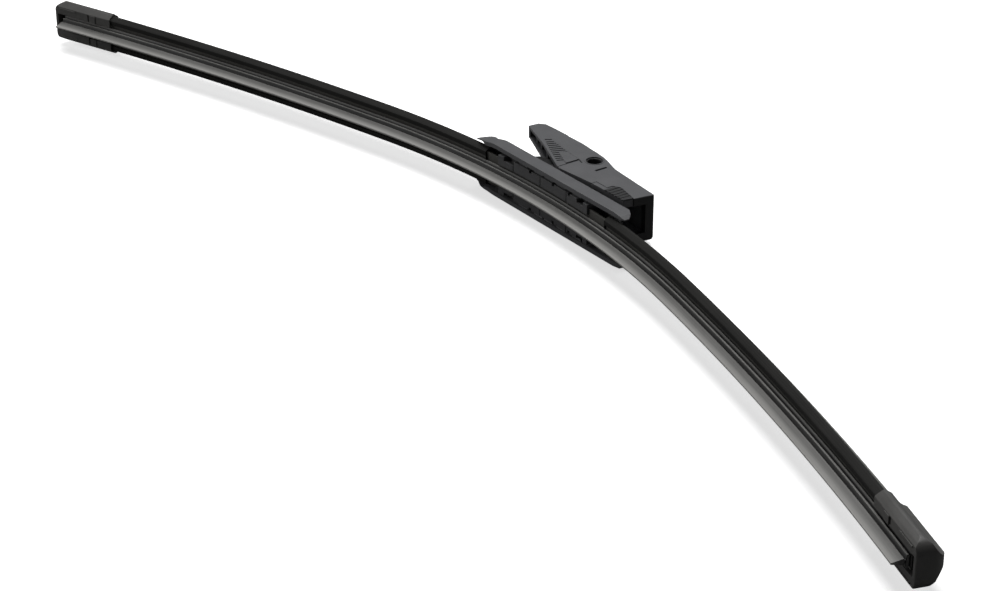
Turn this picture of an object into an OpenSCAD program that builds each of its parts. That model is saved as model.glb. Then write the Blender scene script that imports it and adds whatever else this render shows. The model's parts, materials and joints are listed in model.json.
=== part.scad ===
// Flat wiper blade with a pivoting arm adapter.
// The blade lies on its side: X runs along the chord, Y from the wiping lip
// towards the arm, Z across the blade. The origin is the centre of the pivot.

/* [Blade curve] */
// Length of the wiping rubber along its lip edge
blade_length = 474; // [400:2:560]
// Radius of the middle of the unloaded blade, at the lip edge
centre_radius = 349; // [300:1:420]
// Radius of the blade outside its middle, at the lip edge
outer_radius = 1331; // [900:1:2000]
// Angle that the middle arc turns through on each side of the centre
centre_turn = 13.1; // [10:0.1:17]

/* [Wiping rubber] */
// Thickness of the lip at its wiping edge
lip_edge_t = 0.5; // [0.4:0.05:0.7]
// Thickness of the lip where it meets the hinge
lip_root_t = 2.0; // [1.6:0.1:2.6]
// Height of the lip from its edge to the hinge
lip_height = 3.3; // [2.8:0.1:3.5]
// Thickness of the web that the lip hinges on
hinge_t = 0.9; // [0.6:0.1:1.4]
// Width of the stop shoulder above the hinge
shoulder_w = 4.2; // [3.4:0.1:4.8]
// Width of the body under the spring rails
body_w = 5.6; // [5.2:0.1:6.4]
// Width of the head above the spring rails
head_w = 5.2; // [4.4:0.1:5.8]
// Height of the head above its rail grooves
head_h = 0.95; // [0.8:0.05:1.1]

/* [Spring rails] */
// Height of the rails' underside above the lip edge
rail_height = 6.3; // [6.1:0.1:6.8]
// Thickness of a rail
rail_t = 0.9; // [0.7:0.05:1.0]
// Width of a rail
rail_w = 4.4; // [4:0.1:4.8]
// Gap between the two rails, across the rubber's neck
rail_gap = 2.6; // [2.2:0.1:3.2]

/* [Spoilers] */
// Thickness of the claws that grip the rails, and of the wall above them
claw_t = 0.85; // [0.7:0.05:1.1]
// How far a claw reaches under its rail
claw_reach = 1.4; // [1:0.1:2]
// Width over the claws on both sides
spoiler_w = 13.9; // [13.8:0.1:14.6]
// Height of the spoiler's ridge above the lip edge
spoiler_height = 13.9; // [13:0.1:15]
// Thickness of the ridge at its top
ridge_t = 1.6; // [1.2:0.1:2.4]
// Gap between the two spoilers, where the connector sits
spoiler_gap = 67.6; // [64:0.2:70]

/* [End caps] */
// Length of an end cap
cap_length = 27.5; // [22:0.5:34]
// How far an end cap reaches past the end of the rubber
cap_reach = 4.5; // [3.5:0.1:6]
// Wall of an end cap
cap_wall = 0.9; // [0.8:0.05:1.2]
// Radius of the cap's corners, seen from above
cap_round = 4.2; // [3:0.1:5.5]

/* [Rail carrier] */
// Length of the carrier on the rails
carrier_length = 48; // [46:0.5:54]
// Height of the claws' underside above the lip edge
plate_height = 5.5; // [5.2:0.1:5.6]
// Width over the claws on both sides
carrier_w = 14.3; // [14:0.1:14.6]
// Gap between the claws on the two sides, for the rubber
claw_gap = 7.3; // [6.6:0.1:8]
// Height of the flat seat for the cover above the lip edge
seat_height = 10.65; // [10.6:0.05:11]
// Half the distance between the outer seams of the claws
seam_spacing = 14.5; // [13:0.5:15.5]
// Half width of the tower that carries the pivot
tower_half = 4.2; // [3.6:0.1:4.4]
// Height of the tower's shoulder above the lip edge
shoulder_height = 21.5; // [19:0.1:22]
// Radius of the eye round the pivot bush
eye_r = 4.0; // [3.8:0.1:4.3]

/* [Connector cover] */
// Reach of the cover to the left of the pivot
cover_left = 37.2; // [36.5:0.1:40]
// Reach of the cover to the right of the pivot
cover_right = 42.3; // [38:0.1:46]
// Width over both skirts
cover_w = 19.2; // [18.8:0.1:19.8]
// Thickness of a skirt
skirt_t = 1.5; // [1.2:0.1:1.6]
// Thickness of the deck over the carrier
deck_t = 1.15; // [0.9:0.05:1.3]
// Height of the skirts' lower edge above the lip edge
skirt_bottom = 5.4; // [5:0.1:6]

/* [Pivot] */
// Height of the pivot above the lip edge
pivot_height = 26.5; // [26:0.1:27.5]
// Bore of the pivot bush, for the arm's side pin
bush_bore = 4.9; // [4.7:0.05:5]
// Outer diameter of the pivot bush
bush_d = 5.8; // [5.6:0.05:6]
// Running clearance of the adapter on the bush, on the radius
pivot_clear = 0.05; // [0.02:0.01:0.1]

/* [Adapter] */
// Width over the adapter's side walls
adapter_w = 16; // [15.6:0.1:16.8]
// Thickness of the side walls at the channel
wall_t = 2.9; // [2.6:0.1:3]
// Thickness of the top wall over the channel
roof_t = 3.0; // [2.4:0.1:3.4]
// Thickness of the shell round the nose
shell_t = 1.0; // [0.8:0.05:1.2]
// Reach of the nose to the left of the pivot
nose_reach = 46.8; // [43:0.1:50]
// Reach of the channel to the right of the pivot
channel_reach = 32.2; // [30.5:0.1:36]
// Width of the blunt tip of the nose
tip_w = 4.2; // [3.8:0.1:5]
// Number of grip ribs on each side of the nose
grip_ribs = 12; // [6:1:13]
// Height of the grip ribs
rib_h = 0.3; // [0.2:0.05:0.4]

/* [Lock tongues] */
// Length of a tongue from its root to the channel's end
tongue_length = 18.0; // [17:0.1:20]
// Height of the springy neck of a tongue
neck_h = 3.1; // [2.6:0.1:3.6]
// Height of the push pad
pad_h = 6.3; // [5.5:0.1:7]
// Length of the push pad
pad_length = 11.5; // [9:0.1:12.5]
// Slit round a tongue
slit = 0.4; // [0.3:0.05:0.6]

/* [Hidden] */
$fn = 64;
sweep_fn = 720;
far = 60;
fit = 0.1;
half_length = blade_length / 2;
centre_half = centre_radius * centre_turn * PI / 180;
rail_in = rail_gap / 2;
rail_out = rail_in + rail_w;
rail_top = rail_height + rail_t;
rail_half = half_length - 6;
claw_bottom = rail_height - claw_t + 0.15;
claw_in = rail_out - claw_reach;
spoiler_half = spoiler_w / 2;
side_top = rail_top + claw_t;
head_half = head_w / 2 + fit;
head_top = rail_top + fit + head_h;
cavity_top = head_top + fit;
cap_end = half_length + cap_reach;
cap_mouth = cap_end - cap_length;
cap_bottom = claw_bottom - 0.7;
chamfer_in = spoiler_half - 1;
cap_half = spoiler_half + cap_wall - fit;
cap_top = spoiler_height + cap_wall + fit;
deck_top = seat_height + deck_t;
skirt_in = cover_w / 2 - skirt_t;
carrier_half = carrier_w / 2;
flange_half = skirt_in - 0.2;
claw_clear = claw_gap / 2;
carrier_end = carrier_length / 2;
tower_left = carrier_end;
tower_right = 9;
bow_start = 12;
bow_half = 2.1;
wall_in = adapter_w / 2 - wall_t;
adapter_bottom = deck_top + 1.1;
roof_start = 9.5;
roof_y = 28.0;
roof_slope = 0.084;
ring_r = 3.3;
root_x = channel_reach - 1 - tongue_length;
root_z = adapter_w / 2 - wall_t / 2;
root_r = 0.9;
pad_x = channel_reach - 1.4 - pad_length;
black = [0.16, 0.16, 0.17];
soft_black = [0.24, 0.24, 0.24];

// Slope of the blade at a distance s right of the centre, in degrees
function heading(s) = s < centre_half ? s / centre_radius * 180 / PI
    : centre_turn + (s - centre_half) / outer_radius * 180 / PI;

// Fall of the middle arc at a distance x from the centre
function drop(x) = centre_radius - sqrt(centre_radius * centre_radius - x * x);

// A half outline of [height, half width] points, closed by its mirror image
function both_sides(half) = concat(half,
    [for (i = [len(half) - 1:-1:0]) [half[i].x, -half[i].y]]);

// Frame at the centre of the middle arc, turned by an angle to the right:
// X points away from the lip, Y along the blade to the right
module arc_frame(angle) {
    translate([0, -centre_radius, 0])
        rotate([0, 0, 90])
            mirror([0, 1, 0])
                rotate([0, 0, angle])
                    children();
}

// Sweeps a section of [height above the lip edge, z] along the right half,
// from the plane x = from to the distance reach past the middle arc
module swept(from, reach) {
    intersection() {
        arc_frame(centre_turn) {
            mirror([0, 1, 0])
                rotate_extrude(angle = centre_turn + 0.5, $fn = sweep_fn)
                    translate([centre_radius, 0])
                        children();
            translate([centre_radius - outer_radius, 0, 0])
                rotate_extrude(angle = heading(reach) - centre_turn, $fn = sweep_fn)
                    translate([outer_radius, 0])
                        children();
        }
        translate([from, -centre_radius, -far])
            cube([2 * half_length, 2 * centre_radius, 2 * far]);
    }
}

// Sweeps a section to both sides of the centre, past the middle arc
module swept_both(reach) {
    swept(0, reach)
        children();
    mirror([1, 0, 0])
        swept(0, reach)
            children();
}

// Sweeps a section to both sides of the centre, inside the middle arc
module centre_sweep(reach) {
    for (side = [0, 1])
        mirror([side, 0, 0])
            arc_frame(0)
                rotate_extrude(angle = heading(reach), $fn = sweep_fn)
                    translate([centre_radius, 0])
                        children();
}

// Puts a piece drawn from the lip edge at mid blade into the part's frame
module on_blade() {
    translate([0, -pivot_height, 0])
        children();
}

// Frame at distance s, past the middle arc: X along the blade, Y up from the lip edge
module at_station(s) {
    arc_frame(centre_turn)
        translate([centre_radius - outer_radius, 0, 0])
            rotate([0, 0, heading(s) - centre_turn])
                translate([outer_radius, 0, 0])
                    mirror([0, 1, 0])
                        rotate([0, 0, -90])
                            children();
}

// Turns a section of [height, z] into a solid from x0 to x1
module along_x(x0, x1) {
    translate([x0, 0, 0])
        rotate([90, 0, 90])
            linear_extrude(x1 - x0)
                children();
}

// Turns a drawing of [x, z] into a solid from y0 to y1
module upright(y0, y1) {
    translate([0, y1, 0])
        rotate([90, 0, 0])
            linear_extrude(y1 - y0)
                children();
}

module rubber_section() {
    hinge_top = lip_height + 0.4;
    shoulder_top = hinge_top + 0.75;
    body_bottom = shoulder_top + 0.6;
    neck = rail_in - fit;
    polygon(both_sides([
        [0, lip_edge_t / 2],
        [lip_height - 0.15, lip_root_t / 2],
        [lip_height + 0.1, hinge_t / 2],
        [hinge_top, hinge_t / 2],
        [hinge_top + 0.2, shoulder_w / 2],
        [shoulder_top, shoulder_w / 2],
        [shoulder_top + 0.1, shoulder_w / 2 - 0.7],
        [body_bottom, shoulder_w / 2 - 0.7],
        [body_bottom + 0.15, body_w / 2],
        [rail_height, body_w / 2],
        [rail_height, neck],
        [rail_top + fit, neck],
        [rail_top + fit, head_w / 2],
        [head_top - 0.3, head_w / 2],
        [head_top, head_w / 2 - 0.5]]));
}

module wiping_rubber() {
    color([0.33, 0.33, 0.32])
        on_blade()
            swept_both(half_length)
                rubber_section();
}

module rail_section() {
    translate([rail_height, rail_in])
        square([rail_t, rail_w]);
}

module spring_rail_upper() {
    color([0.2, 0.2, 0.2])
        on_blade()
            swept_both(rail_half)
                rail_section();
}

module spring_rail_lower() {
    mirror([0, 0, 1])
        spring_rail_upper();
}

// Hollow flank between the shoulder and the ridge, as [height, half width]
function flank(bottom, top, foot, ridge) = [for (i = [0:5])
    let (t = i / 6) [bottom + (top - bottom) * t, ridge + (foot - ridge) * pow(1 - t, 1.5)]];

// Outer half outline of a spoiler, grown by g: claw, shoulder, flank and ridge
function spoiler_outline(g) = concat(
    [[claw_bottom + 0.1, chamfer_in + g], [claw_bottom + 0.8, spoiler_half - 0.55 + g],
        [claw_bottom + 1.8, spoiler_half + g], [side_top, spoiler_half + g],
        [side_top + 0.7, spoiler_half - 0.65 + g]],
    flank(side_top + 1.3 + g / 2, spoiler_height - 0.5 + g, spoiler_half - 1.3 + g, ridge_t / 2 + g),
    [[spoiler_height - 0.5 + g, ridge_t / 2 + g], [spoiler_height + g, ridge_t / 4 + g]]);

module spoiler_section() {
    polygon(both_sides(concat([
        [cavity_top, head_half],
        [rail_top, head_half],
        [rail_top, rail_out + fit],
        [rail_height, rail_out + fit],
        [rail_height, claw_in],
        [claw_bottom, claw_in],
        [claw_bottom, chamfer_in - 0.1]],
        spoiler_outline(0))));
}

module spoiler_right() {
    color(soft_black)
        on_blade()
            swept(spoiler_gap / 2, rail_half)
                spoiler_section();
}

module spoiler_left() {
    mirror([1, 0, 0])
        spoiler_right();
}

// Corner that rounds a drawing which ends at x = 0 and spans y0 to y1
module rounded_end(y0, y1, r0, r1, length) {
    translate([-length, y0])
        square([length - max(r0, r1), y1 - y0]);
    translate([-length, y0 + r0])
        square([length, y1 - y0 - r0 - r1]);
    translate([-r0, y0 + r0])
        circle(r0);
    translate([-r1, y1 - r1])
        circle(r1);
    if (r1 > r0)
        translate([-r1 - 1, y0])
            square([1 + r1 - r0, r0]);
}

module cap_shape() {
    intersection() {
        along_x(-cap_length, 0)
            polygon(both_sides(concat([[cap_bottom, chamfer_in + 0.3]],
                spoiler_outline(cap_wall))));
        upright(0, far)
            rounded_end(-cap_half, cap_half, cap_round, cap_round, far);
        linear_extrude(far, center = true)
            rounded_end(cap_bottom, cap_top, 0.6, 5.5, far);
    }
}

module end_cap_right() {
    inner_end = -cap_wall - 0.6;
    slot_half = body_w / 2 + 0.5;
    tab_x = -cap_length + 7;
    tab_length = 3;
    tab_w = 2.7;
    window = 0.9;
    rib_length = 8;
    color(black)
        on_blade()
            at_station(cap_end - cap_length / 2)
            translate([cap_length / 2, 0, 0]) {
                difference() {
                    cap_shape();
                    along_x(-far, rail_half + 0.4 - cap_end)
                        polygon(both_sides(concat([[claw_bottom - fit, chamfer_in]],
                            spoiler_outline(fit))));
                    along_x(-far, inner_end)
                        translate([0, -slot_half])
                            square([rail_top + 2, 2 * slot_half]);
                    for (side = [0, 1])
                        mirror([0, 0, side])
                            translate([tab_x + tab_length, 0, slot_half - 0.1])
                                cube([window, claw_bottom + fit, tab_w + 0.1]);
                }
                for (side = [0, 1])
                    mirror([0, 0, side]) {
                        translate([tab_x, cap_bottom - 0.3, slot_half])
                            cube([tab_length, 0.4, tab_w]);
                        translate([-2.5 - rib_length, cap_bottom - 0.3, chamfer_in - 0.6])
                            cube([rib_length, 0.4, 0.5]);
                    }
            }
}

module end_cap_left() {
    mirror([1, 0, 0])
        end_cap_right();
}

// Tower that rises through the cover and carries the pivot
module tower() {
    base = rail_top + 0.3;
    intersection() {
        linear_extrude(2 * tower_half, center = true)
            union() {
                polygon([[-tower_left, base], [-tower_left, shoulder_height - 1.6],
                    [-tower_left + 1.6, shoulder_height], [-8.6, shoulder_height],
                    [-eye_r * 0.9, pivot_height - eye_r * 0.4], [0, pivot_height],
                    [eye_r * 0.97, pivot_height - eye_r * 0.2], [6.4, 17.6],
                    [tower_right, 15.4], [tower_right, base]]);
                translate([0, pivot_height])
                    circle(eye_r);
            }
        upright(0, far)
            polygon([[-tower_left, -bow_half], [-bow_start, -tower_half], [far, -tower_half],
                [far, tower_half], [-bow_start, tower_half], [-tower_left, bow_half]]);
    }
}

module rail_carrier() {
    seams = [-seam_spacing - 2, -2, seam_spacing - 2];
    notches = [[-21.5, 5, 1.4], [-8, 1.2, 0.9], [4.4, 1.2, 0.9], [13.4, 1.2, 0.9], [18.4, 3.6, 1.4]];
    color([0.2, 0.2, 0.2])
        on_blade()
            difference() {
                union() {
                    centre_sweep(carrier_end)
                        translate([plate_height, -carrier_half])
                            square([rail_top + 1.2 - plate_height, 2 * carrier_half]);
                    translate([-carrier_end, rail_top, -flange_half])
                        cube([carrier_length, seat_height - rail_top, 2 * flange_half]);
                    tower();
                }
                centre_sweep(carrier_end + 1) {
                    translate([rail_height, -rail_out - fit])
                        square([rail_t, 2 * (rail_out + fit)]);
                    translate([plate_height - 3, -claw_clear])
                        square([rail_height - plate_height + 3.1, 2 * claw_clear]);
                    translate([rail_top - 0.1, -head_half])
                        square([cavity_top - rail_top + 0.1, 2 * head_half]);
                }
                for (x = seams)
                    translate([x - 0.2, 0, -far])
                        cube([0.4, plate_height + 0.2, 2 * far]);
                for (notch = notches, side = [0, 1])
                    mirror([0, 0, side])
                        translate([notch.x, 0, carrier_half - notch.z])
                            cube([notch.y, rail_top, notch.z]);
                translate([0, pivot_height, -far])
                    cylinder(r = bush_d / 2, h = 2 * far);
            }
}

// Side outline of the cover: a long flat back that falls to a thin ear on the left
module cover_outline() {
    polygon([[-cover_left, skirt_bottom], [-cover_left, skirt_bottom + 0.6],
        [-cover_left + 1.6, deck_top - 3.8], [-cover_left + 3.7, deck_top - 1.8],
        [-cover_left + 6.2, deck_top - 0.5], [-cover_left + 9.5, deck_top],
        [cover_right - 8, deck_top], [cover_right - 4.5, deck_top - 0.6],
        [cover_right - 1.5, deck_top - 2.2], [cover_right, deck_top - 4],
        [cover_right, skirt_bottom + 0.6], [cover_right - 1, skirt_bottom]]);
}

// Half of the cover's plan, as [x, z]: the ends turn in towards the spoilers
function cover_plan(half) = [[-cover_left, skirt_in + 0.2], [-cover_left + 1.7, half - 1],
    [-cover_left + 4.7, half - 0.5], [-cover_left + 9.2, half], [cover_right - 5, half],
    [cover_right - 1.5, half - 0.4], [cover_right, half - 1.2]];

module cover_section() {
    round_r = 2;
    half = cover_w / 2;
    translate([0, -half])
        square([deck_top - round_r, 2 * half]);
    translate([0, -half + round_r])
        square([deck_top, 2 * (half - round_r)]);
    for (side = [-1, 1])
        translate([deck_top - round_r, side * (half - round_r)])
            circle(round_r);
}

module connector_cover() {
    deck_end = spoiler_gap / 2 - 0.5;
    ledge_h = 1;
    half_plan = cover_plan(cover_w / 2);
    color(black)
        on_blade() {
            difference() {
                intersection() {
                    linear_extrude(cover_w, center = true)
                        cover_outline();
                    along_x(-far, far)
                        cover_section();
                    upright(0, far)
                        polygon(concat(half_plan,
                            [for (i = [len(half_plan) - 1:-1:0]) [half_plan[i].x, -half_plan[i].y]]));
                }
                translate([-far, 0, -skirt_in])
                    cube([2 * far, seat_height, 2 * skirt_in]);
                for (side = [-1, 1])
                    translate([side > 0 ? deck_end : -deck_end - far, 0, -skirt_in])
                        cube([far, far, 2 * skirt_in]);
                upright(0, far)
                    polygon([[-tower_left, -bow_half - fit], [-bow_start, -tower_half - fit],
                        [tower_right, -tower_half - fit], [tower_right, tower_half + fit],
                        [-bow_start, tower_half + fit], [-tower_left, bow_half + fit]]);
            }
            for (x = [-14.5, -6, -0.5, 6.5, 15], side = [0, 1])
                mirror([0, 0, side])
                    translate([x, rail_top - fit - ledge_h, carrier_half + fit])
                        cube([4.5, ledge_h, skirt_in - carrier_half]);
        }
}

module pivot_bush() {
    reach = adapter_w / 2 - 0.3;
    color([0.35, 0.35, 0.36])
        difference() {
            cylinder(r = bush_d / 2, h = 2 * reach, center = true);
            cylinder(r = bush_bore / 2, h = 2 * far, center = true);
        }
}

// Side outline of the adapter, from the lip edge and the pivot
module adapter_outline() {
    end_top = roof_y - (channel_reach - roof_start) * roof_slope;
    polygon([[-nose_reach, 33.9], [-nose_reach + 0.5, 37.8], [-nose_reach + 2.7, 39.3],
        [-38.2, 39.1], [-30.8, 38.6], [-18.4, 35.6], [-8.5, 32.5], [-3.4, 31.1],
        [-0.4, 30.8], [2.9, 30.0], [6.1, 29.0], [roof_start, roof_y], [channel_reach, end_top],
        [channel_reach - 1.6, 18.3], [channel_reach - 2.2, adapter_bottom],
        [-1.9, adapter_bottom], [-29.5, 27.4]]);
}

// Half width of the adapter's flank at x, for a tip of half width tip
module adapter_plan(tip, mid, full) {
    polygon([[-nose_reach, -tip], [-29.5, -mid], [-4, -full], [far, -full],
        [far, full], [-4, full], [-29.5, mid], [-nose_reach, tip]]);
}

module adapter_shell(extra) {
    intersection() {
        linear_extrude(2 * far, center = true)
            union() {
                adapter_outline();
                translate([0, pivot_height])
                    circle(ring_r);
            }
        upright(0, far)
            adapter_plan(tip_w / 2 + extra, 3.2 + extra, adapter_w / 2 + extra);
    }
}

// Open space between the side walls: nose pocket, tower slot and arm channel
module adapter_hollow() {
    inner_tip = tip_w / 2 - shell_t * 0.75;
    inner_mid = 3.2 - shell_t;
    under_roof = roof_y - roof_t;
    intersection() {
        linear_extrude(2 * far, center = true)
            polygon([[-nose_reach + 1.6, 32], [-nose_reach + 1.8, 36.1], [-38.2, 37.6],
                [-30.8, 37.1], [-18.4, 34], [-10.5, 31.5], [-10.5, far], [roof_start, far],
                [roof_start, under_roof], [far, under_roof - (far - roof_start) * roof_slope],
                [far, 0], [-far, 0]]);
        upright(0, far)
            polygon([[-nose_reach + 1.6, -inner_tip], [-29.5, -inner_mid], [-12, -wall_in],
                [far, -wall_in], [far, wall_in], [-12, wall_in], [-29.5, inner_mid],
                [-nose_reach + 1.6, inner_tip]]);
    }
}

// Cross webs inside the nose, kept clear of the tower when the nose swings down
module nose_webs() {
    web_t = 0.9;
    for (web = [[-41, 32.9], [-36, 31], [-29.2, 28.4], [-24.4, 30.4], [-20, 29.2]])
        translate([web.x, web.y, -far])
            cube([web_t, far, 2 * far]);
}

// Grip ribs that lean across the flank from its lower edge, longer towards the pad
module rib_lines() {
    for (i = [0:grip_ribs - 1])
        translate([-32.6 + i * 2.1, 30.3 - i * 1.13])
            rotate(50)
                translate([0, -0.4])
                    square([i < 8 ? 2.4 + i * 0.4 : 2.8, 0.8]);
}

// Press pad beside the pivot, bounded by two narrow seams
module pad_outline() {
    polygon([[-16, 23.8], [-13.9, 25.8], [-3.6, 22.8], [-4, 17.6]]);
}

module pad_seams() {
    seam = 0.4;
    translate([-3.8, adapter_bottom - 1])
        square([seam, 23.6 - adapter_bottom]);
    translate([-1.2, 22.4])
        rotate(163)
            square([12.8, seam]);
}

// Side outline of a lock tongue, grown by g: springy neck and push pad
module tongue_outline(g) {
    pad_top = adapter_bottom + pad_h + g;
    fall = 0.2;
    polygon([[root_x, 0], [root_x, adapter_bottom + neck_h + g],
        [pad_x - g, adapter_bottom + neck_h + g], [pad_x - g, pad_top - 0.8],
        [pad_x + 0.4 - g, pad_top], [pad_x + 2.2, pad_top + 1.3],
        [far, pad_top + 1.3 - (far - pad_x) * fall], [far, 0]]);
}

module adapter_body() {
    seam_depth = 0.6;
    slot = [5.9, 22, 1];
    slot_h = 4.7;
    color(black)
        on_blade()
            difference() {
                union() {
                    adapter_shell(0);
                    intersection() {
                        adapter_shell(rib_h);
                        linear_extrude(2 * far, center = true)
                            union() {
                                rib_lines();
                                pad_outline();
                            }
                    }
                    translate([0, pivot_height, 0])
                        cylinder(r = ring_r, h = adapter_w + 0.3, center = true);
                }
                difference() {
                    adapter_hollow();
                    nose_webs();
                }
                difference() {
                    linear_extrude(2 * far, center = true)
                        pad_seams();
                    adapter_shell(-seam_depth);
                }
                translate([0, pivot_height, -far])
                    cylinder(r = bush_d / 2 + pivot_clear, h = 2 * far);
                translate([slot.x, slot.y, -far])
                    cube([slot.z, slot_h, 2 * far]);
                for (side = [0, 1])
                    mirror([0, 0, side]) {
                        translate([0, 0, 2])
                            linear_extrude(far)
                                tongue_outline(slit);
                        translate([root_x, 0, root_z])
                            rotate([-90, 0, 0])
                                cylinder(r = root_r + 0.05, h = adapter_bottom + neck_h + slit);
                    }
            }
}

module lock_tongue_upper() {
    neck_in = adapter_w / 2 - 1.7;
    pad_in = wall_in + 0.2;
    face = adapter_w / 2;
    raised = face + 0.3;
    step = pad_x + 0.4;
    groove = 0.7;
    pitch = 1.7;
    color(soft_black)
        on_blade() {
            difference() {
                intersection() {
                    linear_extrude(raised)
                        tongue_outline(0);
                    linear_extrude(far)
                        adapter_outline();
                    upright(0, far)
                        polygon([[root_x + 0.15, neck_in], [step, neck_in], [step + 1, pad_in],
                            [far, pad_in], [far, raised], [step + 1, raised], [step, face],
                            [root_x + 0.15, face]]);
                }
                for (i = [0:4])
                    translate([step + 1.8 + i * pitch, 0, face + 0.05])
                        cube([groove, far, 1]);
            }
            translate([root_x, adapter_bottom, root_z])
                rotate([-90, 0, 0])
                    cylinder(r = root_r, h = neck_h);
        }
}

module lock_tongue_lower() {
    mirror([0, 0, 1])
        lock_tongue_upper();
}

wiping_rubber();
spring_rail_upper();
spring_rail_lower();
spoiler_left();
spoiler_right();
end_cap_left();
end_cap_right();
rail_carrier();
connector_cover();
pivot_bush();
adapter_body();
lock_tongue_upper();
lock_tongue_lower();
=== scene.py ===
# Flat wiper blade lying on its side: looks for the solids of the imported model.
import json
from math import atan2, cos, degrees, hypot, radians, sin

import bmesh
import bpy
from mathutils import Matrix, Vector


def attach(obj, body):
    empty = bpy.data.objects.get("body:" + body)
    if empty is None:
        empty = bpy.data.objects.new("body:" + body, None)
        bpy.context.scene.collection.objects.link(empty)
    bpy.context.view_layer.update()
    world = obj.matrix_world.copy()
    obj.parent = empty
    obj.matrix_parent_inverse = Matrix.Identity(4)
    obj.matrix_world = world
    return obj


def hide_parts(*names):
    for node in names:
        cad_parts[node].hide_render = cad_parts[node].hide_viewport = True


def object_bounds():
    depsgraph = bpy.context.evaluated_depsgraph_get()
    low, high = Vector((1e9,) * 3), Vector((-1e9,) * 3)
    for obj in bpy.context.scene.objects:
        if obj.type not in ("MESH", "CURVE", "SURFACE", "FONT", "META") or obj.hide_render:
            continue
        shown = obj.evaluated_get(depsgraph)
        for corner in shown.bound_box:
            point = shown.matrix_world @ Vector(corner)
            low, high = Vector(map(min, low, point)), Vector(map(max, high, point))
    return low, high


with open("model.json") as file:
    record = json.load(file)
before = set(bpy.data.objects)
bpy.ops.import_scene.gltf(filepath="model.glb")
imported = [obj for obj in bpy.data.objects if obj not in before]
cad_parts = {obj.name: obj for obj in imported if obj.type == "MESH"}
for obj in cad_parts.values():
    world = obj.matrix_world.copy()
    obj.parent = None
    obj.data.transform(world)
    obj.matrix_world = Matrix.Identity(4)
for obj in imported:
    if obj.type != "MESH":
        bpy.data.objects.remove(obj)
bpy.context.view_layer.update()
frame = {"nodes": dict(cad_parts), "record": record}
scene = bpy.context.scene
scene.view_settings.view_transform = "Standard"

# The photographer's camera: a long lens from the right, in front and above.
# Its place comes from the perspective of the blade's section and chord. Heights
# are counted from the lip's edge, and the pivot stands at pivot_height over it.
pivot_height = 0.0265
turn = 0.944822
tilt = 0.477315
distance = 0.90671
shift_right = 0.009903
shift_up = 0.030505
look = Vector((-sin(turn) * cos(tilt), cos(turn) * cos(tilt), -sin(tilt)))
across = Vector((cos(turn), sin(turn), 0))
above = across.cross(look)
eye = -shift_right * across - shift_up * above - distance * look
eye.y -= pivot_height
camera = bpy.data.objects.new("photo_camera", bpy.data.cameras.new("photo_camera"))
camera.data.lens = 99.314
camera.data.sensor_width = 36
camera.data.clip_start = 0.01
view = Matrix((across, above, -look)).transposed().to_4x4()
view.translation = eye
camera.matrix_world = view
scene.collection.objects.link(camera)
scene.camera = camera


# The studio: a white sweep of paper under a large soft lamp, two small ones and a
# pale room. The paper looks white to the camera but throws back only a little light.
def for_camera(tree, kind, others, camera_ray):
    """Shows the camera one shader, and gives every other ray another one."""
    path = tree.nodes.new("ShaderNodeLightPath")
    pick = tree.nodes.new("ShaderNodeMixShader")
    output = tree.nodes.new(kind)
    tree.links.new(path.outputs["Is Camera Ray"], pick.inputs["Fac"])
    tree.links.new(others.outputs[0], pick.inputs[1])
    tree.links.new(camera_ray.outputs[0], pick.inputs[2])
    tree.links.new(pick.outputs[0], output.inputs["Surface"])


floor_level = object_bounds()[0].z
floor_half = 6
bm = bmesh.new()
bmesh.ops.create_grid(bm, x_segments=1, y_segments=1, size=floor_half)
bmesh.ops.translate(bm, verts=bm.verts, vec=(0, 0, floor_level))
floor_mesh = bpy.data.meshes.new("paper")
bm.to_mesh(floor_mesh)
bm.free()
floor = bpy.data.objects.new("paper", floor_mesh)
scene.collection.objects.link(floor)
paper = bpy.data.materials.new("white_paper")
paper.use_nodes = True
tree = paper.node_tree
tree.nodes.clear()
matt = tree.nodes.new("ShaderNodeBsdfDiffuse")
matt.inputs["Color"].default_value = (0.86, 0.86, 0.86, 1)
glow = tree.nodes.new("ShaderNodeEmission")
glow.inputs["Color"].default_value = (1, 1, 1, 1)
glow.inputs["Strength"].default_value = 0.62
both = tree.nodes.new("ShaderNodeAddShader")
tree.links.new(matt.outputs[0], both.inputs[0])
tree.links.new(glow.outputs[0], both.inputs[1])
bounce = tree.nodes.new("ShaderNodeBsdfDiffuse")
bounce.inputs["Color"].default_value = (0.16, 0.16, 0.16, 1)
for_camera(tree, "ShaderNodeOutputMaterial", bounce, both)
floor.data.materials.append(paper)

world = bpy.data.worlds.new("pale_room")
scene.world = world
world.use_nodes = True
tree = world.node_tree
tree.nodes.clear()
room = tree.nodes.new("ShaderNodeBackground")
room.inputs["Color"].default_value = (0.95, 0.97, 1, 1)
room.inputs["Strength"].default_value = 0.07
white = tree.nodes.new("ShaderNodeBackground")
white.inputs["Strength"].default_value = 1
for_camera(tree, "ShaderNodeOutputWorld", room, white)

for name, place, size, power in (
        ("overhead_box", (-0.3, 0.15, 1.3), 0.9, 17),
        ("front_box", (-1, -1.1, 0.55), 0.7, 6),
        ("back_box", (-0.3, 1.3, 0.7), 0.8, 3)):
    lamp = bpy.data.objects.new(name, bpy.data.lights.new(name, "AREA"))
    lamp.data.shape = "SQUARE"
    lamp.data.size = size
    lamp.data.energy = power
    lamp.location = place
    lamp.rotation_euler = (-Vector(place)).to_track_quat("-Z", "Y").to_euler()
    scene.collection.objects.link(lamp)


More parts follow.
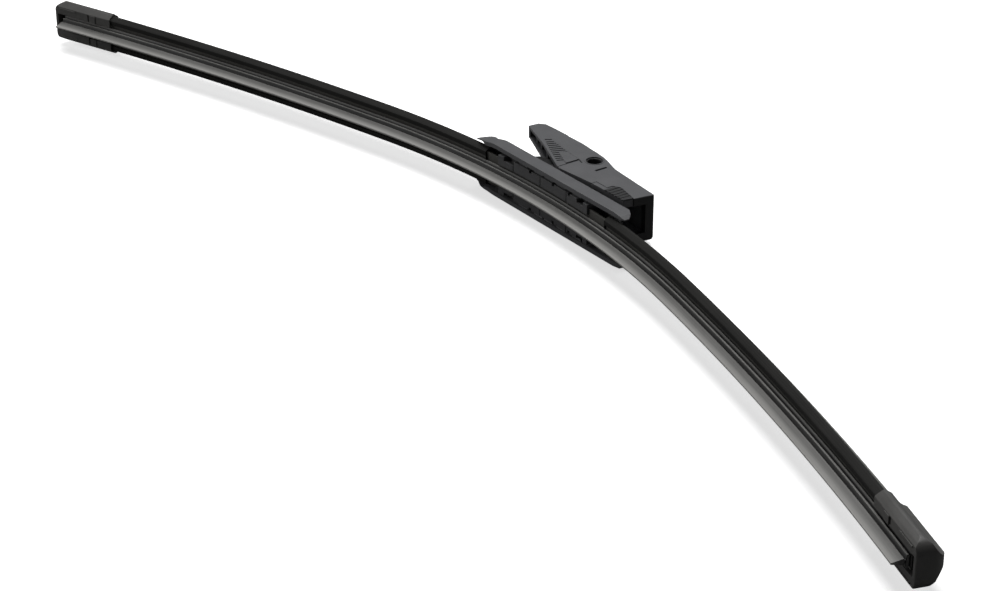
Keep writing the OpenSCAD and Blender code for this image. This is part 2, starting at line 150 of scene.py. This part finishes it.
# The wiping rubber: one extrusion of black rubber with a graphite coat, whose lip
# hangs on a thin web. It is made by sweeping its section round the blade's arcs.
class Value:
    """A node's output in an expression, where each operator adds a Math node."""

    def __init__(self, tree, socket=None):
        self.tree = tree
        self.socket = socket

    def node(self, kind, settings, sockets, output=0):
        made = self.tree.nodes.new(kind)
        for name, setting in settings.items():
            setattr(made, name, setting)
        for name, given in sockets.items():
            if isinstance(given, Value):
                self.tree.links.new(given.socket, made.inputs[name])
            else:
                made.inputs[name].default_value = given
        return Value(self.tree, made.outputs[output])

    def math(self, operation, a, b):
        return self.node("ShaderNodeMath", {"operation": operation}, {0: a, 1: b})

    def __add__(self, other):
        return self.math("ADD", self, other)

    __radd__ = __add__

    def __mul__(self, other):
        return self.math("MULTIPLY", self, other)

    def __sub__(self, other):
        return self.math("SUBTRACT", self, other)

    def __rsub__(self, other):
        return self.math("SUBTRACT", other, self)

    def step(self, low, high):
        return self.node("ShaderNodeMapRange", {"interpolation_type": "SMOOTHSTEP"},
                         {"Value": self, "From Min": low, "From Max": high})

    def noise(self, scale, detail, roughness):
        return self.node("ShaderNodeTexNoise", {},
                         {"Vector": self, "Scale": scale, "Detail": detail,
                          "Roughness": roughness})

    def stretched(self, x, y, z):
        return self.node("ShaderNodeVectorMath", {"operation": "MULTIPLY"},
                         {0: self, 1: (x, y, z)})

    def part(self, axis):
        return self.node("ShaderNodeSeparateXYZ", {}, {"Vector": self}, axis)


def new_finish(name):
    """A material with its Principled shader, and an empty value to start from."""
    material = bpy.data.materials.new(name)
    material.use_nodes = True
    shader = material.node_tree.nodes["Principled BSDF"]
    return material, shader, Value(material.node_tree)


def feed(start, shader, colour, roughness, height, strength, distance, shade=None):
    """Links what varies over a surface: colour mix, roughness and bump, and a darkening towards
    black where a shade is given.
    """
    tree = start.tree
    dark, light, share = colour
    mixed = start.node("ShaderNodeMix", {"data_type": "RGBA"},
                       {0: share, 6: (*dark, 1), 7: (*light, 1)}, 2)
    # The shade darkens towards black: painted shade on the tower and in the adapter's mouth, and
    # the darker push pad.
    if shade:
        mixed = start.node("ShaderNodeMix", {"data_type": "RGBA"},
                           {0: shade, 6: mixed, 7: (0.004, 0.004, 0.004, 1)}, 2)
    tree.links.new(mixed.socket, shader.inputs["Base Color"])
    tree.links.new(roughness.socket, shader.inputs["Roughness"])
    bump = start.node("ShaderNodeBump", {},
                      {"Strength": strength, "Distance": distance, "Height": height})
    tree.links.new(bump.socket, shader.inputs["Normal"])


centre_radius = 0.349
outer_radius = 1.331
centre_turn = radians(13.1)
centre_half = centre_radius * centre_turn
half_length = 0.237


def arc_centre(side, outer):
    """Centre of the middle arc, or of the outer arc on the left (-1) or right (1)."""
    reach = (outer_radius - centre_radius) if outer else 0
    return Vector((-side * reach * sin(centre_turn),
                   -pivot_height - centre_radius - reach * cos(centre_turn), 0))


def swept(name, section, left, right, corner):
    """Sweeps (height, z) points round the arcs, from distance left to right."""
    bm = bmesh.new()
    bm.faces.new([bm.verts.new((0, y - pivot_height, z)) for y, z in section])
    bmesh.ops.bevel(bm, geom=bm.verts[:], offset=corner, segments=2, profile=0.5,
                    affect="VERTICES", material=-1, offset_type="OFFSET")
    runs = []
    if left < -centre_half:
        runs.append((arc_centre(-1, True), (min(right, -centre_half) - left) / outer_radius))
    low = max(left, -centre_half)
    high = min(right, centre_half)
    if low < high:
        runs.append((arc_centre(0, False), (high - low) / centre_radius))
    if right > centre_half:
        runs.append((arc_centre(1, True), (right - max(left, centre_half)) / outer_radius))
    back = min(max(left, -centre_half), centre_half) / centre_radius
    turn_all(bm, arc_centre(0, False), back)
    if left < -centre_half:
        turn_all(bm, arc_centre(-1, True), (left + centre_half) / outer_radius)
    edges = bm.edges[:]
    bmesh.ops.delete(bm, geom=bm.faces[:], context="FACES_ONLY")
    bmesh.ops.holes_fill(bm, edges=edges)
    last = edges
    for centre, angle in runs:
        steps_per_degree = 4 if centre.x else 2
        steps = max(8, round(degrees(angle) * steps_per_degree))
        made = bmesh.ops.spin(bm, geom=last, cent=centre, axis=(0, 0, -1), angle=angle,
                              steps=steps, use_merge=False, use_duplicate=False)
        last = [g for g in made["geom_last"] if isinstance(g, bmesh.types.BMEdge)]
    bmesh.ops.holes_fill(bm, edges=last)
    bmesh.ops.recalc_face_normals(bm, faces=bm.faces[:])
    return finished(name, bm)


def turn_all(bm, centre, angle):
    """Turns everything clockwise about a centre."""
    bmesh.ops.rotate(bm, verts=bm.verts[:], cent=centre,
                     matrix=Matrix.Rotation(-angle, 3, "Z"))


def finished(name, bm, sharp=30):
    """Makes an object of a bmesh, smooth except at its sharp edges."""
    mesh = bpy.data.meshes.new(name)
    bm.to_mesh(mesh)
    bm.free()
    mesh.shade_smooth()
    mesh.set_sharp_from_angle(angle=radians(sharp))
    piece = bpy.data.objects.new(name, mesh)
    scene.collection.objects.link(piece)
    return piece


def note_course(piece):
    """Stores each point's course: distance along the blade, height and z."""
    course = piece.data.attributes.new("course", "FLOAT_VECTOR", "POINT")
    for number, vertex in enumerate(piece.data.vertices):
        side = 1 if vertex.co.x >= 0 else -1
        arm = vertex.co - arc_centre(0, False)
        angle = atan2(abs(arm.x), arm.y)
        along = angle * centre_radius
        height = hypot(arm.x, arm.y) - centre_radius
        if angle > centre_turn:
            arm = vertex.co - arc_centre(side, True)
            angle = atan2(abs(arm.x), arm.y)
            along = centre_half + (angle - centre_turn) * outer_radius
            height = hypot(arm.x, arm.y) - outer_radius
        course.data[number].vector = (side * along, height, vertex.co.z)


def mirrored(half):
    """The whole section from its +Z half."""
    return half + [(y, -z) for y, z in reversed(half)]


rubber = swept("wiping_rubber_skin", mirrored([
    (0, 0.00025), (0.00365, 0.001), (0.0039, 0.00045), (0.0042, 0.00045),
    (0.0044, 0.0021), (0.00495, 0.0021), (0.00505, 0.0014), (0.00555, 0.0014),
    (0.0057, 0.0028), (0.0063, 0.0028), (0.0063, 0.0012), (0.0073, 0.0012),
    (0.0073, 0.0026), (0.00795, 0.0026), (0.00825, 0.0021)]),
    -half_length, half_length, 0.00005)
note_course(rubber)

rubber_finish, shader, start = new_finish("graphite_rubber")
course = start.node("ShaderNodeAttribute", {"attribute_name": "course"}, {}, 1)
streaks = course.stretched(9, 2600, 2600).noise(1, 4, 0.6)
cloud = course.stretched(60, 300, 300).noise(1, 3, 0.55)
dust = course.stretched(900, 2500, 2500).noise(1, 5, 0.7).step(0.6, 0.85)
height = course.part(1)
# Painted sheen: the whole lip is painted lighter than the body.
lip = 1 - height.step(0.0035, 0.004)
# Painted highlight along the lip's wiping edge, fading up the lip.
edge = 1 - height.step(0.0001, 0.0026)
# Painted highlight: a thin light line at the lip's root.
root_highlight = height.step(0.0033, 0.0036) * lip
# Painted highlights on the crests of the two ridges.
ridge_highlight = height.step(0.0043, 0.0045) * (1 - height.step(0.005, 0.0051))
ridge_highlight = ridge_highlight + height.step(0.0056, 0.0057) * (1 - height.step(0.0058, 0.0062))
# The lip, edge, root and ridge terms are painted light; streaks, cloud and dust are the rubber's
# own.
share = (lip * 0.3 + edge * 0.5 + root_highlight * 0.12 + ridge_highlight * 0.5
         + (streaks - 0.5) * 0.4 + (cloud - 0.5) * 0.2 + dust * 0.08)
feed(start, shader, ((0.012, 0.012, 0.0115), (0.34, 0.335, 0.32), share),
     0.5 - lip * 0.1 + streaks * 0.18, streaks + dust * 0.3, 0.25, 0.00006)
shader.inputs["Specular IOR Level"].default_value = 0.5
rubber.data.materials.append(rubber_finish)
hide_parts("wiping_rubber")
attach(rubber, "blade")

# The two spring rails: hardened steel strips, bent to the blade's curve and coated
# black. They lie in the rubber's grooves and the spoilers' claws hold them there.
rail_finish, shader, start = new_finish("black_coated_steel")
place = start.node("ShaderNodeTexCoord", {}, {}, 3)
drawn = place.stretched(40, 3000, 3000).noise(1, 4, 0.6)
specks = place.noise(9000, 2, 0.6).step(0.62, 0.8)
feed(start, shader, ((0.03, 0.0293, 0.0265), (0.085, 0.083, 0.075), drawn),
     0.38 + drawn * 0.2, drawn + specks * 0.4, 0.2, 0.00004)
shader.inputs["Metallic"].default_value = 0.25
rail_under = 0.0063
rail_over = 0.0072
rail_inner = 0.0013
rail_outer = 0.0057
rail_half_length = half_length - 0.006
for name, side in (("upper", 1), ("lower", -1)):
    rail = swept("spring_rail_" + name + "_strip",
                 [(rail_under, side * rail_inner), (rail_over, side * rail_inner),
                  (rail_over, side * rail_outer), (rail_under, side * rail_outer)],
                 -rail_half_length, rail_half_length, 0.0001)
    rail.data.materials.append(rail_finish)
    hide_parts("spring_rail_" + name)
    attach(rail, "blade")

# The spoilers: two lengths of soft elastomer extruded with a hollow flank on both
# sides, whose claws snap over the rails. Each ends under the cover, at the carrier.
spoiler_finish, shader, start = new_finish("extruded_elastomer")
course = start.node("ShaderNodeAttribute", {"attribute_name": "course"}, {}, 1)
drawn = course.stretched(7, 1800, 1800).noise(1, 3, 0.55)
fine = course.stretched(2500, 5000, 5000).noise(1, 3, 0.6)
haze = course.stretched(35, 160, 160).noise(1, 3, 0.5)
# The colour gets lighter from the flanks up towards the ridge.
towards_ridge = course.part(1).step(0.0095, 0.013)
share = (0.05 + towards_ridge * 0.8 + (drawn - 0.5) * 0.12 + (haze - 0.5) * 0.1
         + (fine - 0.5) * 0.06)
shader.inputs["Specular IOR Level"].default_value = 0.12
feed(start, shader, ((0.009, 0.0088, 0.0082), (0.2, 0.2, 0.19), share),
     0.55 + haze * 0.16 + drawn * 0.08, fine * 0.6 + drawn, 0.2, 0.00005)
ridge = 0.0008
foot = 0.00565
foot_height = 0.00935
ridge_height = 0.0134
flank = []
flank_steps = 9
for number in range(flank_steps):
    share_up = number / flank_steps
    flank.append((foot_height + (ridge_height - foot_height) * share_up,
                  ridge + (foot - ridge) * (1 - share_up) ** 1.5))
half_section = ([(0.00835, 0.0027), (0.0072, 0.0027), (0.0072, 0.0058), (0.0063, 0.0058),
                 (0.0063, 0.0043), (0.0056, 0.0043), (0.0056, 0.00585), (0.0057, 0.00595),
                 (0.0064, 0.0064), (0.0074, 0.00695), (0.00805, 0.00695), (0.00875, 0.0063)]
                + flank + [(ridge_height, ridge), (0.0139, 0.0004)])
for name, left, right in (("left", -0.231, -0.0306), ("right", 0.03385, 0.231)):
    spoiler = swept("spoiler_" + name + "_profile", mirrored(half_section), left, right, 0.00012)
    note_course(spoiler)
    spoiler.data.materials.append(spoiler_finish)
    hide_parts("spoiler_" + name)
    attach(spoiler, "blade")


# The end caps: moulded sleeves that close the blade's ends, pushed over spoiler and
# rails, with rounded corners and a small holding tab in a window on either side.
def softened(node, width, finish, reshape=None):
    """Puts a copy with rounded edges and a finish in the place of a CAD node."""
    sharp = 28
    bm = bmesh.new()
    bm.from_mesh(frame["nodes"][node].data)
    bmesh.ops.remove_doubles(bm, verts=bm.verts[:], dist=0.000002)
    bmesh.ops.dissolve_limit(bm, angle_limit=radians(0.5), verts=bm.verts[:],
                             edges=bm.edges[:], use_dissolve_boundaries=False)
    if reshape:
        reshape(bm)
        bmesh.ops.recalc_face_normals(bm, faces=bm.faces[:])
    piece = finished(node + "_moulding", bm, sharp)
    rounding = piece.modifiers.new("edges", "BEVEL")
    rounding.width = width
    rounding.segments = 3
    rounding.limit_method = "ANGLE"
    rounding.angle_limit = radians(sharp)
    rounding.use_clamp_overlap = True
    rounding.harden_normals = True
    piece.data.materials.clear()
    piece.data.materials.append(finish)
    bodies = frame["record"]["behaviour"]["bodies"].items()
    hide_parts(node)
    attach(piece, next(body for body, nodes in bodies if node in nodes))


def moulded_plastic(name, dark, light, gloss, grain, shading=None):
    """Dyed plastic from a spark-eroded mould: fine grain over faint flow marks."""
    material, shader, start = new_finish(name)
    place = start.node("ShaderNodeTexCoord", {}, {}, 3)
    pits = place.noise(grain, 3, 0.6)
    flow = place.stretched(1, 1.6, 1.6).noise(120, 4, 0.6)
    scuffs = place.stretched(1, 0.3, 2).noise(900, 4, 0.7).step(0.62, 0.9)
    share = 0.5 + (flow - 0.5) * 0.8 + (pits - 0.5) * 0.35 + scuffs * 0.15
    feed(start, shader, (dark, light, share),
         gloss + (pits - 0.5) * 0.12 + (flow - 0.5) * 0.1, pits + scuffs * 0.2, 0.3, 0.00006,
         shading and shading(place))
    shader.inputs["Specular IOR Level"].default_value = 0.45
    return material


cap_finish = moulded_plastic("cap_plastic", (0.047, 0.046, 0.044), (0.1, 0.098, 0.094),
                             0.42, 5200)
for name in ("left", "right"):
    softened("end_cap_" + name, 0.00025, cap_finish)


# The rail carrier: a glass-filled moulding whose claws grip both rails. Its tower
# stands up through the cover and ends in the eye that the adapter turns about.
def between(value, low, high):
    """How far a value has gone from low to high, kept within 0 and 1."""
    return min(max((value - low) / (high - low), 0), 1)


def leaning(bm):
    """Leans the tower's left end outwards, above the cover's deck."""
    for vertex in bm.verts:
        height = vertex.co.y + pivot_height
        share = between(-vertex.co.x, 0.015, 0.022) * between(height, 0.0125, 0.0199)
        vertex.co.x -= 0.001 * share


def tower_painted_shade(place):
    """Painted shade: dark on the tower's left end above the deck, in the shadow under the
    adapter's nose.
    """
    left = 1 - place.part(0).step(-0.0135, -0.0115)
    above_deck = place.part(1).step(0.0105 - pivot_height, 0.0109 - pivot_height)
    return left * above_deck * 0.96


carrier_finish = moulded_plastic("carrier_plastic", (0.05, 0.05, 0.052),
                                 (0.085, 0.085, 0.088), 0.45, 4600, tower_painted_shade)
softened("rail_carrier", 0.00018, carrier_finish, leaning)


# The connector cover: a thin shell over the carrier, with a long skirt down both
# sides whose ends stand free of the spoilers. It snaps on under the claws.
def forked(bm):
    """Redraws the cover's left end as two leaves beside the spoiler's ridge."""
    # Where the solid's end is cut off, the slot's half width, then the solid's
    # heights, half width and wall at the cut.
    cut = -0.028
    slot = 0.0021
    deck_top = 0.0118
    deck_under = 0.01065
    skirt_bottom = 0.0054
    full = 0.0096
    wall = 0.0015
    near = 0.00001
    for place, normal in (((0, 0, slot), (0, 0, 1)), ((0, 0, -slot), (0, 0, 1)),
                          ((cut, 0, 0), (-1, 0, 0))):
        bmesh.ops.bisect_plane(bm, geom=bm.verts[:] + bm.edges[:] + bm.faces[:],
                               plane_co=place, plane_no=normal, clear_outer=normal[0] < 0)
    home = bm.verts.layers.float_vector.new("home")
    ring = [edge for edge in bm.edges if edge.is_boundary]
    for vertex in {v for edge in ring for v in edge.verts}:
        vertex[home] = vertex.co

    def drawn_on(edges, x, crest, top, half, bottom, inner, thick):
        """Draws a rim on to x: its top's height at the slot and at the outside, its
        half width, its lower edge's height, the slot's half width and its wall."""
        made = bmesh.ops.extrude_edge_only(bm, edges=edges)["geom"]
        rim = [g for g in made if isinstance(g, bmesh.types.BMEdge) and g.is_boundary]
        under = top - (deck_top - deck_under)
        for vertex in {v for edge in rim for v in edge.verts}:
            y = vertex[home].y + pivot_height
            z = vertex[home].z
            if y > deck_under - near:
                y += crest + (top - crest) * between(abs(z), slot, full) ** 2 - deck_top
            else:
                y = bottom + (y - skirt_bottom) * (under - bottom) / (deck_under - skirt_bottom)
            if abs(z) > slot - near:
                reach = (inner + (half - thick - inner) * between(abs(z), slot, full - wall)
                         + thick * between(abs(z), full - wall, full))
                z = reach if z > 0 else -reach
            vertex.co = (x, y - pivot_height, z)
        return rim

    for station in ((-0.0293, 0.0118, 0.01165, 0.00945, 0.0053, slot, 0.0015),
                    (-0.0303, 0.01175, 0.01145, 0.0093, 0.0052, slot, 0.0015)):
        ring = drawn_on(ring, *station)
    middle = deck_under - pivot_height + 0.0001
    corners = sorted({v for edge in ring for v in edge.verts if abs(abs(v.co.z) - slot) < near},
                     key=lambda v: atan2(v.co.y - middle, v.co.z))
    bm.faces.new(corners)
    for side in (1, -1):
        rim = [edge for edge in ring
               if all(v.co.z * side > slot - near for v in edge.verts)]
        rim.append(bm.edges.get([v for v in corners if v.co.z * side > 0]))
        for station in ((-0.0315, 0.0117, 0.0112, 0.0091, 0.0051, 0.0021, 0.0014),
                        (-0.0326, 0.0116, 0.0109, 0.009, 0.005, 0.0021, 0.0013),
                        (-0.0331, 0.0115, 0.0107, 0.009, 0.005, 0.0022, 0.0008),
                        (-0.0337, 0.0114, 0.0104, 0.0089, 0.005, 0.0022, 0.0004),
                        (-0.0345, 0.0113, 0.0101, 0.0088, 0.005, 0.0023, 0.0003),
                        (-0.0355, 0.0111, 0.0097, 0.00865, 0.0051, 0.0024, 0.0003),
                        (-0.0366, 0.01085, 0.00915, 0.0083, 0.0054, 0.0026, 0.0003),
                        (-0.0371, 0.0107, 0.0089, 0.00815, 0.0056, 0.003, 0.0003),
                        (-0.0376, 0.0101, 0.0086, 0.008, 0.0058, 0.005, 0.0003),
                        (-0.0381, 0.0085, 0.0081, 0.0079, 0.0059, 0.0071, 0.0003),
                        (-0.0385, 0.0074, 0.0073, 0.0077, 0.0058, 0.0072, 0.0002)):
            rim = drawn_on(rim, *station)
        bmesh.ops.holes_fill(bm, edges=rim)
    bmesh.ops.remove_doubles(bm, verts=bm.verts[:], dist=0.00003)
    bmesh.ops.dissolve_degenerate(bm, dist=near, edges=bm.edges[:])


slate_dark = (0.085, 0.086, 0.09)
slate_light = (0.125, 0.126, 0.131)
cover_finish = moulded_plastic("cover_plastic", slate_dark, slate_light, 0.4, 4200)
softened("connector_cover", 0.00022, cover_finish, forked)

# The pivot bush: a smooth acetal tube pressed into the carrier's eye. The arm's
# side pin goes through it and the adapter's walls turn on its ends.
bush_finish, shader, start = new_finish("acetal")
place = start.node("ShaderNodeTexCoord", {}, {}, 3)
turned = place.stretched(300, 300, 6000).noise(1, 3, 0.5)
feed(start, shader, ((0.02, 0.02, 0.021), (0.04, 0.04, 0.042), turned),
     0.3 + turned * 0.15, turned, 0.15, 0.00003)
softened("pivot_bush", 0.00015, bush_finish)


# The adapter: one moulding with a long tapered nose, grip ribs on both flanks and a
# channel that takes the end of the wiper arm. It clips over the bush.
def on_flank(place):
    """1 on the outer faces of both walls, found by the square of z, else 0."""
    depth = place.part(2)
    return (depth * depth).step(0.0000578, 0.0000624)


def mouth_painted_shade(place):
    """Painted shade: darker inside the channel's mouth and on its end frame, where the shadow
    falls.
    """
    return place.part(0).step(0.0285, 0.0302) * (1 - on_flank(place)) * 0.9


def pad_shade(place):
    """Darker on the push pad's outer face."""
    return place.part(0).step(0.0196, 0.0202) * on_flank(place) * 0.75


def lifted(bm):
    """Lifts the walls' lower edge off the deck and rounds the far outer corners."""
    for vertex in bm.verts:
        height = vertex.co.y + pivot_height
        lift = (0.0008 * between(vertex.co.x, -0.004, -0.002)
                + 0.0015 * between(vertex.co.x, -0.0019, 0.0132))
        if vertex.co.z < 0:
            lift *= 1 - between(vertex.co.x, 0.021, 0.0282)
        vertex.co.y += lift * (1 - between(height, 0.0129, 0.0182))
    outer = [edge for edge in bm.edges
             if all(v.co.z < -0.00795 and v.co.x > 0.006 for v in edge.verts)
             and (all(v.co.y > -0.001 for v in edge.verts)
                  or all(v.co.y < -0.0134 for v in edge.verts))]
    bmesh.ops.bevel(bm, geom=outer, offset=0.0011, segments=4, profile=0.5,
                    affect="EDGES", material=-1, offset_type="OFFSET", clamp_overlap=True)


# The adapter's colour carries the painted shade of the channel's mouth.
adapter_finish = moulded_plastic("adapter_plastic", slate_dark, slate_light, 0.42, 4200,
                                 mouth_painted_shade)
softened("adapter_body", 0.00025, adapter_finish, lifted)

# The lock tongues: springy strips cut free of the channel's walls by a slit, each
# with a ribbed pad to press when the arm is taken out.
tongue_finish = moulded_plastic("tongue_plastic", slate_dark, slate_light, 0.42, 4200,
                                pad_shade)
for name in ("upper", "lower"):
    softened("lock_tongue_" + name, 0.00015, tongue_finish, lifted)
